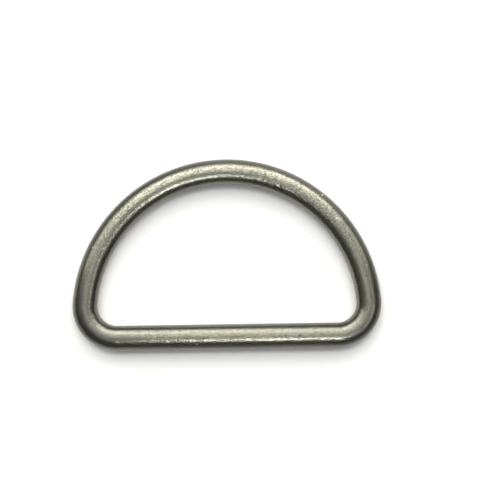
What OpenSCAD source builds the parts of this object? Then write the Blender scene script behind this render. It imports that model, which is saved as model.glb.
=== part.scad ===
// D ring for a strap: one closed loop of round wire, with a straight bar, two tight bends and
// a wide bow. It lies flat, with its underside on the XY plane and its middle over the origin.
// +X runs along the bar, and +Y from the bar to the top of the bow.

/* [Opening] */
// Clear width inside the ring at its widest, which is the width of the strap
inner_w = 38; // [20:0.5:60]
// Clear height inside the ring, from the bar to the top of the bow
inner_h = 20.5; // [14:0.5:60]

/* [Wire] */
// Diameter of the round wire
wire_d = 3.7; // [2:0.1:6]
// Radius on the inside of the two bends that join the bar to the bow
bend_inner_r = 2.8; // [0.5:0.1:5]

/* [Hidden] */
$fn = 96;

// Antique nickel, as it looks under a soft light
nickel = [0.50, 0.49, 0.42];

// Radius of the wire
wire_r = wire_d / 2;

// All that follows is measured at the middle of the wire.
// Radius of each bend
bend_r = bend_inner_r + wire_r;
// Height of the loop, from the bar to the top of the bow
loop_h = inner_h + wire_d;
// Distance of each bend's centre from the middle of the ring
bend_x = inner_w / 2 - bend_inner_r;
// Length of the upright sides, which only a ring deeper than a half circle has
side_h = max(0, loop_h - 2 * bend_r - bend_x);

// The bow is an arc that touches both bends smoothly, so the distance from its centre to the
// centre of a bend is its own radius less the bend's. With upright sides it is a half circle.
arch_h = loop_h - side_h;
bow_rise = (pow(arch_h - bend_r, 2) - pow(bend_x, 2) - pow(bend_r, 2))
         / (2 * (arch_h - 2 * bend_r));
// Angle above the X axis at which the bow starts, to a thousandth of a degree
bow_start = round(1000 * asin((bend_r - bow_rise) / (arch_h - bow_rise - bend_r))) / 1000;
bow_r = bend_r + bend_x / cos(bow_start);

// Places along Y of the bar, of the bends' centres and of the bow's centre
bar_y = -loop_h / 2;
bend_y = bar_y + bend_r;
bow_y = bend_y + side_h - bend_x * tan(bow_start);

// Moves a stretch by whole millimetres and then by the small rest, which keeps more decimals
// than one long move does, so that the ends of two stretches meet exactly
module moved(x, y) {
    whole = [round(x), round(y)];
    translate(whole) translate([x, y] - whole) children();
}

// A straight stretch of wire along X, centred on the origin
module straight_wire(length) {
    rotate([0, 90, 0]) cylinder(h = length, d = wire_d, center = true);
}

// A curved stretch of wire about the Z axis, from one angle to another
module curved_wire(r, from, to) {
    rotate_extrude(start = from, angle = to - from) moved(r, 0) circle(d = wire_d);
}

// The straight bar that the strap is sewn round
module bar() {
    moved(0, bar_y) straight_wire(2 * bend_x);
}

// The right-hand bend, and above it the upright side of a deep ring
module bend() {
    moved(bend_x, bend_y) curved_wire(bend_r, -90, bow_start);
    if (side_h > 0)
        moved(bend_x + bend_r, bend_y + side_h / 2) rotate([0, 0, 90]) straight_wire(side_h);
}

// The rounded bow that a hook or a second strap pulls on
module bow() {
    moved(0, bow_y) curved_wire(bow_r, bow_start, 180 - bow_start);
}

// The whole ring, one piece of metal
module ring() {
    color(nickel) translate([0, 0, wire_r]) {
        bar();
        bend();
        mirror([1, 0, 0]) bend();
        bow();
    }
}

ring();
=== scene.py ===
import math

import bpy
import numpy as np
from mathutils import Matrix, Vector


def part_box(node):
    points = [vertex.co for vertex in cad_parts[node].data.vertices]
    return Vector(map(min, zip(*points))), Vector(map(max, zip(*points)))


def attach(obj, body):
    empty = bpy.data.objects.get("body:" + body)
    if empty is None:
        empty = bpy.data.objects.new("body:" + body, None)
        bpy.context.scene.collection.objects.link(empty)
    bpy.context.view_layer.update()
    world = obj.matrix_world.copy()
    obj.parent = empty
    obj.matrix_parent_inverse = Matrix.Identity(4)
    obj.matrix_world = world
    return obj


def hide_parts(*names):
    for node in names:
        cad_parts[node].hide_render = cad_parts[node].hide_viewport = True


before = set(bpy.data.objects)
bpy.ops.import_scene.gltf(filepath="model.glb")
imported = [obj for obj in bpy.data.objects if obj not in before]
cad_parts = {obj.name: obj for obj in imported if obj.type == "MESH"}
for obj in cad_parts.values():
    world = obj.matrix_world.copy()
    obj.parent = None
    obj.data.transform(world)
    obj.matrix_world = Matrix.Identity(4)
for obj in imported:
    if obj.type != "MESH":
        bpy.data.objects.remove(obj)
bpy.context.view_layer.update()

# A D ring of round wire in antique nickel, lying flat on a white table. Lengths are in metres.
MM = 0.001

# Sizes of the ring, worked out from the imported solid. Only the inside radius of the bends is not in its box.
ring_low, ring_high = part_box("ring")
bend_inner_r = 2.8 * MM
wire_d = ring_high.z - ring_low.z
wire_r = wire_d / 2
wire_z = ring_low.z + wire_r
inner_w = ring_high.x - ring_low.x - 2 * wire_d
loop_h = ring_high.y - ring_low.y - wire_d
bar_y = ring_low.y + wire_r
bend_r = bend_inner_r + wire_r
bend_x = inner_w / 2 - bend_inner_r
side_h = max(0.0, loop_h - 2 * bend_r - bend_x)
arch_h = loop_h - side_h
bow_rise = ((arch_h - bend_r) ** 2 - bend_x ** 2 - bend_r ** 2) / (2 * (arch_h - 2 * bend_r))
bow_start = math.asin((bend_r - bow_rise) / (arch_h - bow_rise - bend_r))
bow_r = bend_r + bend_x / math.cos(bow_start)

# Stretches of the centre line in order, each with its length and how far it turns.
STRETCHES = (
    (2 * bend_x, 0.0),
    ((math.pi / 2 + bow_start) * bend_r, math.pi / 2 + bow_start),
    (side_h, 0.0),
    ((math.pi - 2 * bow_start) * bow_r, math.pi - 2 * bow_start),
    (side_h, 0.0),
    ((math.pi / 2 + bow_start) * bend_r, math.pi / 2 + bow_start),
)
LOOP = sum(length for length, turn in STRETCHES)
GIRTH = 2 * math.pi * wire_r

# The surface grid: stations along the wire and points around it.
ALONG = 970
AROUND = 100
SEED = 41

# Unevenness of the surface. Each row is a set of waves: how many, the shortest and the longest in mm, how
# much longer they are round the wire than along it, and their height in mm.
WAVES = (
    (60, 4, 14, 1.0, 0.0040),           # slow drift
    (700, 0.55, 1.6, 1.2, 0.0030),      # peel
    (900, 0.26, 0.5, 1.3, 0.0034),      # fine grain
)
# Pits, with the least and greatest half length and half width of one in mm, and share of the full depth.
PITS = 900
PIT_DEPTH = 0.014 * MM
PIT_LENGTHS = (0.06, 0.16)
PIT_WIDTHS = (0.10, 0.26)
PIT_SHARES = (0.3, 1.0)

SKIN = 0.002 * MM       # how far the highest points of the finished surface stay inside the bare wire
WORN = 0.003 * MM       # how softly those points are levelled

# Painted shade along each side of the wire: a dark line, as shares of the wire's radius, and how much darker
# the sides are below it.
LINE_AT = 0.65
LINE_SPREAD = 0.13
SIDES_PAINTED_SHADE = 0.50

# Small marks of handling. Each row is a bell-shaped spot: how far along the wire in mm, its turn round the
# wire in degrees, its half length and half width in mm, its depth in mm, and how polished it is. A polish
# above 1 paints a glint of bare metal, and one below 0 darkens a pit.
MARKS = (
    (11.7, 56, 0.20, 0.22, 0.040, 2.6),     # nick on the bar, with a painted glint
    (26.8, 92, 0.20, 0.22, 0.030, -2.0),    # dark pit on the bar
    (56.8, 38, 0.18, 0.28, 0.020, 2.4),     # painted glint on the outer edge of the bow
    (52.7, 60, 0.12, 0.70, 0.016, 0.9),     # hairline across the bow
    (53.1, 76, 0.19, 0.19, 0.000, 2.0),     # light dot at its end
    (94.0, 54, 0.19, 0.19, 0.000, 2.0),     # light specks on the left of the bow
    (93.4, 105, 0.17, 0.17, 0.000, 1.8),
    (95.4, 109, 0.17, 0.17, 0.000, 1.8),
)

# Wide soft patches, partly worn finish and partly painted shade and painted highlight. Each row has the same
# first four numbers, then how much duller and darker than the rest the patch is or, below 0, how much
# brighter, and how much smoother or, below 0, rougher.
PATCHES = (
    (-6.8, 87, 8, 1.0, 0.5, 0.2),           # top of the left bend
    (0, 100, 4, 0.50, 0.35, 0.0),           # inner side of its top
    (41, 85, 10, 1.6, 0.35, 0.0),           # top of the right bend
    (33, 103, 4, 0.50, 0.3, 0.0),           # inner side of its top
    (36.5, 141, 4, 0.40, 0.6, 0.0),         # its inner side
    (36.5, 116, 4, 0.35, -0.5, 0.0),        # between these two, brighter: rubbed, with painted highlight
    (43, 90, 11, 2.0, 0.0, 0.6),            # right bend and right of the bow, smooth
    (100, 62, 10, 0.60, 0.0, 0.4),          # left of the bow, smoother on its outer side
    (79, 106, 11, 0.35, 0.35, 0.6),         # inner side of the bow's top, on the left, smooth
    (72, 109, 5, 0.35, 0.5, 0.0),           # the same at the very top
    (2.2, 76, 7, 0.80, 0.45, 0.0),          # top of the bar, on the left
    (16, 97, 17, 0.30, 0.3, 0.0),           # top of the bar, in the middle
    (34.7, 72, 3, 0.60, 0.6, 0.0),          # top of the bar, on the right
    (18.5, 75, 10, 0.35, -0.9, -0.3),       # outer edge of the bar's top, brighter with rubbing and painted highlight, and rough
    (16, 114, 17, 0.65, 0.0, 0.5),          # inner half of the bar, smooth
    (99, 90, 10, 2.0, 0.0, 0.4),            # left of the bow, smooth
    (-0.3, 124, 3, 0.40, -0.6, 0.3),        # inner side of the left bend, brighter: rubbed, with painted highlight
    (16, 39, 18, 0.50, 0.9, 0.0),           # outer side of the bar
    (43, 39, 8, 0.50, 0.7, 0.0),            # outer side of the bow, on the right
    (45, 142, 9, 0.50, -0.4, 0.0),          # inner side of the bow, on the right
    (89, 143, 14, 0.42, 0.75, 0.0),         # inner side of the bow, on the left
    (87, 102, 4, 0.35, 0.5, 0.0),           # darker spot above it: dullness and painted shade
    (84, 47, 13, 0.45, 1.0, 0.0),           # outer side of the bow, on the left
    (60, 100, 10, 0.50, -0.5, 0.0),         # inner side of the bow's top, on the right
    (62, 61, 13, 0.50, -0.7, 0.0),          # crest of the bow, brighter: rubbed, with painted highlight
    (83, 77, 12, 0.50, -1.1, 0.0),          # the same, further on
)


def centre_line(count):
    """Points and headings of the closed centre line at evenly spaced stations, and how far along each is.

    The heading grows evenly with distance along each stretch, and a point is the running sum of
    short steps, each taken along the heading at its middle."""
    ends = np.cumsum([0.0] + [length for length, turn in STRETCHES])
    turns = np.cumsum([0.0] + [turn for length, turn in STRETCHES])
    fine = 8
    step = LOOP / (count * fine)
    middles = (np.arange(count * fine) + 0.5) * step
    heading = np.interp(middles, ends, turns)
    x = -bend_x + np.concatenate(([0.0], np.cumsum(np.cos(heading) * step)[:-1]))
    y = bar_y + np.concatenate(([0.0], np.cumsum(np.sin(heading) * step)[:-1]))
    at = np.arange(count) * LOOP / count
    return x[::fine], y[::fine], np.interp(at, ends, turns), at


def closing_waves(rng, along, around, count, shortest, longest, lean):
    """A random field over the wire that closes on itself both ways, with a spread of 1.

    It is a sum of cosine waves in random directions, each with a whole number of crests along the
    loop and round the girth. The cosine of a sum splits into products, so the field is two matrix
    products. A lean over 1 makes the waves longer round the wire than along it."""
    length = shortest * (longest / shortest) ** rng.random(count)
    way = rng.random(count) * 2 * math.pi
    crests_along = np.rint(LOOP / length * np.cos(way))
    crests_around = np.rint(GIRTH / (length * lean) * np.sin(way))
    phase = rng.random(count) * 2 * math.pi
    a = 2 * math.pi * np.outer(along / LOOP, crests_along) + phase
    b = np.outer(around, crests_around)
    field = np.cos(a) @ np.cos(b).T - np.sin(a) @ np.sin(b).T
    return field * math.sqrt(2.0 / count)


def dents(along, around, where, turn, half_along, half_around, depth):
    """Round-bottomed dents: each is its depth times a bell curve along the wire and one round it."""
    d = (along[:, None] - where + LOOP / 2) % LOOP - LOOP / 2
    t = (around[:, None] - turn + math.pi) % (2 * math.pi) - math.pi
    bell_along = np.exp(-((d / half_along) ** 2))
    bell_around = np.exp(-((t * wire_r / half_around) ** 2))
    return (bell_along * depth) @ bell_around.T


def spots(along, around, table):
    """The sum of a table's bell-shaped spots, for each of its columns after the first four."""
    where, turn, half_along, half_around, *amounts = np.array(table, dtype=float).T
    bells = (where * MM, np.radians(turn), half_along * MM, half_around * MM)
    return [dents(along, around, *bells, amount) for amount in amounts]


def ring_surface():
    """Points of the finished wire, and its pitting, its dullness and painted shade, its polishing and painted
    glints, and its smoothness, all as grids.

    A row is a station along the wire, a column a point around it. A point is the centre line's
    point plus a radius along the direction that turns from outward, at 0, over the top of the wire,
    at a quarter turn. The radius is the wire's plus the relief: waves, less pits and marks."""
    rng = np.random.default_rng(SEED)
    x, y, heading, along = centre_line(ALONG)
    around = np.arange(AROUND) * 2 * math.pi / AROUND

    relief = sum(
        height * MM * closing_waves(rng, along, around, count, shortest * MM, longest * MM, lean)
        for count, shortest, longest, lean, height in WAVES
    )
    # Pits lie anywhere, each with its own half length, half width and share of the full depth.
    pitting = dents(
        along, around,
        rng.random(PITS) * LOOP, rng.random(PITS) * 2 * math.pi,
        rng.uniform(*PIT_LENGTHS, PITS) * MM, rng.uniform(*PIT_WIDTHS, PITS) * MM,
        rng.uniform(*PIT_SHARES, PITS),
    )
    relief -= PIT_DEPTH * pitting
    depth, polish_and_glint = spots(along, around, MARKS)
    relief -= MM * depth
    # The highest points are worn down softly to the bare wire.
    relief = -WORN * np.logaddexp(0.0, -relief / WORN)
    radius = wire_r - SKIN + relief

    out_x, out_y = np.sin(heading), -np.cos(heading)
    px = x[:, None] + radius * np.cos(around) * out_x[:, None]
    py = y[:, None] + radius * np.cos(around) * out_y[:, None]
    pz = wire_z + radius * np.sin(around)

    # Painted shade: a dark line along each side, and the sides darker than the top and bottom.
    flat = np.abs(np.sin(around))
    line = np.exp(-(((flat - LINE_AT) / LINE_SPREAD) ** 2))
    # The patches' dullness is partly painted shade, and where it is below 0 partly painted highlight.
    patch_dull_and_shade, smoother = spots(along, around, PATCHES)
    dull_and_shade = np.maximum(line, np.where(flat < LINE_AT, SIDES_PAINTED_SHADE, 0.0)) + patch_dull_and_shade
    values = {"pitting": pitting, "dull_and_shade": dull_and_shade, "polish_and_glint": polish_and_glint, "smooth": smoother}
    return np.stack((px, py, pz), axis=-1), values


def closed_grid_piece(name, points, values):
    """A mesh from a grid of points that closes on itself both ways, with faces outwards.

    values are grids of numbers kept as attributes, and the UV map runs along and round the wire."""
    rows, cols = points.shape[:2]
    i, j = np.meshgrid(np.arange(rows), np.arange(cols), indexing="ij")
    i2, j2 = (i + 1) % rows, (j + 1) % cols
    quads = np.stack((i * cols + j, i2 * cols + j, i2 * cols + j2, i * cols + j2), axis=-1).reshape(-1, 4)
    mesh = bpy.data.meshes.new(name)
    mesh.vertices.add(rows * cols)
    mesh.vertices.foreach_set("co", points.reshape(-1).astype(np.float32))
    mesh.loops.add(quads.size)
    mesh.loops.foreach_set("vertex_index", quads.reshape(-1).astype(np.int32))
    mesh.polygons.add(len(quads))
    mesh.polygons.foreach_set("loop_start", np.arange(0, quads.size, 4, dtype=np.int32))
    mesh.polygons.foreach_set("use_smooth", np.ones(len(quads), dtype=bool))
    mesh.update(calc_edges=True)
    corner_u = np.stack((i, i + 1, i + 1, i), axis=-1) / rows
    corner_v = np.stack((j, j, j + 1, j + 1), axis=-1) / cols
    uv = mesh.uv_layers.new(name="wire")
    uv.data.foreach_set("uv", np.stack((corner_u, corner_v), axis=-1).reshape(-1).astype(np.float32))
    for label, grid in values.items():
        kept = mesh.attributes.new(label, "FLOAT", "POINT")
        kept.data.foreach_set("value", grid.reshape(-1).astype(np.float32))
    mesh.validate()
    piece = bpy.data.objects.new(name, mesh)
    bpy.context.scene.collection.objects.link(piece)
    return piece


class Value:
    """A number or vector socket of a material. Arithmetic on a number adds Math nodes."""

    def __init__(self, made, socket):
        self.made = made
        self.socket = socket

    def math(self, operation, first, second):
        return self.made.node("ShaderNodeMath", {"operation": operation}, {0: first, 1: second})

    def __add__(self, other):
        return self.math("ADD", self, other)

    def __mul__(self, other):
        return self.math("MULTIPLY", self, other)

    def __sub__(self, other):
        return self.math("SUBTRACT", self, other)

    def __rsub__(self, other):
        return self.math("SUBTRACT", other, self)

    __radd__ = __add__
    __rmul__ = __mul__

    def rise(self, start, end):
        """0 below start, 1 above end, and an even soft rise between them."""
        sockets = {"Value": self, "From Min": start, "From Max": end}
        return self.made.node("ShaderNodeMapRange", {"interpolation_type": "SMOOTHSTEP"}, sockets)


class Finish:
    """A material and its nodes."""

    def __init__(self, name):
        self.material = bpy.data.materials.new(name)
        self.material.use_nodes = True
        self.tree = self.material.node_tree
        self.tree.nodes.clear()

    def node(self, kind, settings=None, sockets=None, out=0):
        """Adds a node, sets its settings, then the values or links of its sockets, and gives one output."""
        made = self.tree.nodes.new(kind)
        for key, value in (settings or {}).items():
            setattr(made, key, value)
        for key, value in (sockets or {}).items():
            if isinstance(value, Value):
                self.tree.links.new(value.socket, made.inputs[key])
            else:
                made.inputs[key].default_value = value
        return Value(self, made.outputs[out]) if len(made.outputs) else made

    def place(self):
        """Object coordinates, in metres."""
        return self.node("ShaderNodeTexCoord", out=3)

    def kept(self, label):
        """A number that the piece keeps as an attribute."""
        return self.node("ShaderNodeAttribute", {"attribute_name": label}, out=2)

    def mix(self, share, first, second):
        """From the first colour to the second as share goes from 0 to 1."""
        settings = {"data_type": "RGBA", "clamp_factor": True}
        return self.node("ShaderNodeMix", settings, {0: share, 6: first, 7: second}, out=2)

    def noise(self, place, size, detail=2.0, rough=0.5):
        """Soft noise from 0 to 1 with features about as wide as size, in metres."""
        sockets = {"Vector": place, "Scale": 1.0 / size, "Detail": detail, "Roughness": rough}
        return self.node("ShaderNodeTexNoise", None, sockets)

    def shader(self, sockets):
        return self.node("ShaderNodeBsdfPrincipled", None, sockets)

    def surface(self, shader):
        """Ends the material with this shader."""
        self.node("ShaderNodeOutputMaterial", None, {"Surface": shader})
        return self.material


def rgb(red, green, blue):
    return (red, green, blue, 1.0)


def antique_nickel():
    """Dull plated nickel: warm grey metal with a thin olive patina, darker in its pits, with painted shade
    along its sides and in patches, and painted highlights at rubbed spots and marks.
    """
    made = Finish("antique_nickel")
    place = made.place()
    pitting = made.kept("pitting")
    dull_and_shade = made.kept("dull_and_shade")
    polish_and_glint = made.kept("polish_and_glint")
    rough = 1.0 - made.kept("smooth")

    cloud = made.noise(place, 5.0 * MM)
    mottle = made.noise(place, 0.60 * MM, 2.0, 0.6)
    speck = made.noise(place, 0.22 * MM, 1.0, 0.7)

    # Worn and patina are the metal's own colours. The shaded colour is painted shade, the rubbed colour
    # carries painted highlight, the bare colour paints glints, and the pit colour darkens pits and deepens
    # painted shade.
    worn = rgb(0.280, 0.281, 0.226)
    patina = rgb(0.098, 0.099, 0.079)
    shaded = rgb(0.112, 0.112, 0.098)
    rubbed_and_highlight = rgb(0.370, 0.365, 0.298)
    bare_and_glint = rgb(0.60, 0.59, 0.53)
    pit = rgb(0.055, 0.055, 0.045)
    # From worn metal to patina in fine specks, which are fainter where the ring is smooth.
    tarnish = (0.70 * speck + 0.20 * mottle + 0.10 * cloud).rise(0.36, 0.64)
    base = made.mix(0.5 + (tarnish - 0.5) * rough, worn, patina)
    # Over it the dull parts with painted shade, the rubbed parts between the specks with painted highlight,
    # the pits, deeper painted shade where the dullness passes 1, and the bare metal of the marks as painted
    # glints.
    base = made.mix(dull_and_shade.rise(0.0, 1.0) * 0.85, base, shaded)
    base = made.mix((polish_and_glint - dull_and_shade).rise(0.0, 1.0) * (1.0 - 0.8 * tarnish), base, rubbed_and_highlight)
    dark = (pitting - polish_and_glint).rise(0.30, 1.0) * 0.8
    base = made.mix(dark + (dull_and_shade - 1.0).rise(0.0, 1.0), base, pit)
    # Painted glints: marks with a polish above 1 turn to the bright bare colour.
    base = made.mix((polish_and_glint - 1.0).rise(0.0, 0.8), base, bare_and_glint)

    # Grain that is too fine for the mesh, with this depth for a height of 1.
    grain_depth = 0.031 * MM
    grain = (0.8 * mottle + 1.2 * speck) * rough
    bump = {"Strength": 1.0, "Distance": grain_depth, "Height": grain}
    metal = {"Base Color": base, "Metallic": 1.0, "Normal": made.node("ShaderNodeBump", None, bump)}
    # The polish is uneven below what the eye parts: at least half is smooth, and the pits are mostly matt.
    smooth = made.shader({**metal, "Roughness": 0.18})
    matt = made.shader({**metal, "Roughness": 0.32})
    share = 0.35 + 0.15 * tarnish + 0.4 * dark
    return made.surface(made.node("ShaderNodeMixShader", None, {0: share, 1: smooth, 2: matt}))


def table_top():
    """A matt white table, plain, with the faintest unevenness in its tone."""
    made = Finish("white_table")
    cloud = made.noise(made.place(), 60 * MM)
    base = made.mix(cloud, rgb(0.872, 0.885, 0.870), rgb(0.882, 0.893, 0.882))
    return made.surface(made.shader({"Base Color": base, "Roughness": 0.75, "Specular IOR Level": 0.2}))


points, values = ring_surface()
d_ring = closed_grid_piece("d_ring", points, values)
d_ring.data.materials.append(antique_nickel())
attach(d_ring, "root")
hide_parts("ring")

# The table that the ring lies on.
TABLE_REACH = 3.0               # from its middle to each edge, in metres
TABLE_GAP = 0.004 * MM          # how far it lies below the ring, so that they share no plane
table_mesh = bpy.data.meshes.new("table")
corners = np.array([(-1, -1, 0), (1, -1, 0), (1, 1, 0), (-1, 1, 0)], dtype=float) * TABLE_REACH
corners[:, 2] = ring_low.z - TABLE_GAP
table_mesh.from_pydata(corners.tolist(), [], [(0, 1, 2, 3)])
table_mesh.materials.append(table_top())
table = bpy.data.objects.new("table", table_mesh)
bpy.context.scene.collection.objects.link(table)

# The camera looks straight down, turned a little, with the ring left of the middle of the picture.
PICTURE_SIDE = 73.44 * MM       # length that the picture's long side covers at the wire's middle
CAMERA_AWAY = 275 * MM
CAMERA_X, CAMERA_Y = 3.43 * MM, 0.56 * MM
CAMERA_TURN = math.radians(-0.884)
SENSOR = 36.0                   # width of the camera's sensor, in mm
camera_data = bpy.data.cameras.new("camera")
camera_data.sensor_width = SENSOR
camera_data.lens = SENSOR * CAMERA_AWAY / PICTURE_SIDE
camera_data.clip_start = 0.01
camera = bpy.data.objects.new("camera", camera_data)
bpy.context.scene.collection.objects.link(camera)
camera.location = (CAMERA_X, CAMERA_Y, wire_z + CAMERA_AWAY)
camera.rotation_euler = (0.0, 0.0, CAMERA_TURN)
bpy.context.scene.camera = camera

TINT = 0.04         # how much more red and how much less blue a fully warm panel has


def panel(name, bearing, tilt, away, wide, tall, glow, warm=0.0):
    """A soft light panel that faces the ring, away metres from it.

    bearing is its compass direction from +X towards +Y and tilt its angle from straight up, both in
    degrees. wide and tall are the angles that it fills, glow is its brightness, and warm tints it."""
    data = bpy.data.lights.new(name, "AREA")
    data.shape = "RECTANGLE"
    data.size = 2 * away * math.tan(math.radians(wide / 2))
    data.size_y = 2 * away * math.tan(math.radians(tall / 2))
    # An area light's power is spread over its surface and over the half space: glow times pi times area.
    data.energy = glow * math.pi * data.size * data.size_y
    data.color = (1.0 + TINT * warm, 1.0, 1.0 - TINT * warm)
    lamp = bpy.data.objects.new(name, data)
    bpy.context.scene.collection.objects.link(lamp)
    b, t = math.radians(bearing), math.radians(tilt)
    towards = Vector((math.cos(b) * math.sin(t), math.sin(b) * math.sin(t), math.cos(t)))
    lamp.location = towards * away + Vector((0, 0, wire_z))
    lamp.rotation_euler = towards.to_track_quat("Z", "Y").to_euler()
    lamp.visible_camera = False
    return lamp


def lights_only(lamp, piece):
    """Keeps the light of a lamp to one piece."""
    only = bpy.data.collections.new(f"{lamp.name}_only")
    only.objects.link(piece)
    lamp.light_linking.receiver_collection = only


def hump(off, spread):
    """1 in the middle, fading to the sides: e to minus the fourth power of off over spread, in degrees."""
    return math.exp(-(abs((off + 180) % 360 - 180) / spread) ** 4)


# A dome of soft panels in level rows. Each row is its tilt and height in degrees, how much it glows all
# round, and how much more it glows to the north.
DOME = (
    (22, 20, 0.6, 1.8),
    (39, 14, 0.15, 3.4),
    (56, 20, 0.0, 4.0),
    (72, 12, 0.0, 1.3),
    (83, 10, 0.0, 0.2),
)
NORTH = 92          # bearing of the middle of the bright part
SPREAD = 64         # how far it reaches to each side, in degrees
STEP = 30           # from each panel of a row to the next, in degrees
FAINTEST = 0.05     # a panel that would glow less is left out
FAR = 1.0           # distance of the dome from the ring, in metres
NEAR = 0.14         # distance of the two small panels
for row, (tilt, tall, even, north) in enumerate(DOME):
    wide = STEP * math.sin(math.radians(tilt))
    for bearing in range(0, 360, STEP):
        bright = north * hump(bearing - NORTH, SPREAD)
        glow = even + bright
        if glow > FAINTEST:
            panel(f"row_{row}_{bearing}", bearing, tilt, FAR, wide, tall, glow, bright / glow)
panel("overhead", 0, 0, FAR, 22, 22, 1.2)

# Two small panels, side by side and close to the ring, draw the narrow bright line along the south side of
# bow and bar. These and the fill light the ring only, so that its shadow on the table keeps its depth.
lights_only(panel("close_1", 271.5, 34, NEAR, 9.5, 9, 14), d_ring)
lights_only(panel("close_2", 288.5, 34, NEAR, 9.5, 9, 14), d_ring)
lights_only(panel("fill", 333, 40, FAR, 45, 18, 1.3), d_ring)
# A strip high in the north, for the table only, gives that shadow its narrow dark core along the wire.
lights_only(panel("strip", 92, 17, FAR, 36, 9, 6.0), table)

world = bpy.data.worlds.new("studio")
bpy.context.scene.world = world
world.use_nodes = True
sky = world.node_tree.nodes["Background"]
sky.inputs["Color"].default_value = rgb(0.15, 0.15, 0.15)
sky.inputs["Strength"].default_value = 1.0

view = bpy.context.scene.view_settings
view.view_transform = "Standard"
view.look = "None"
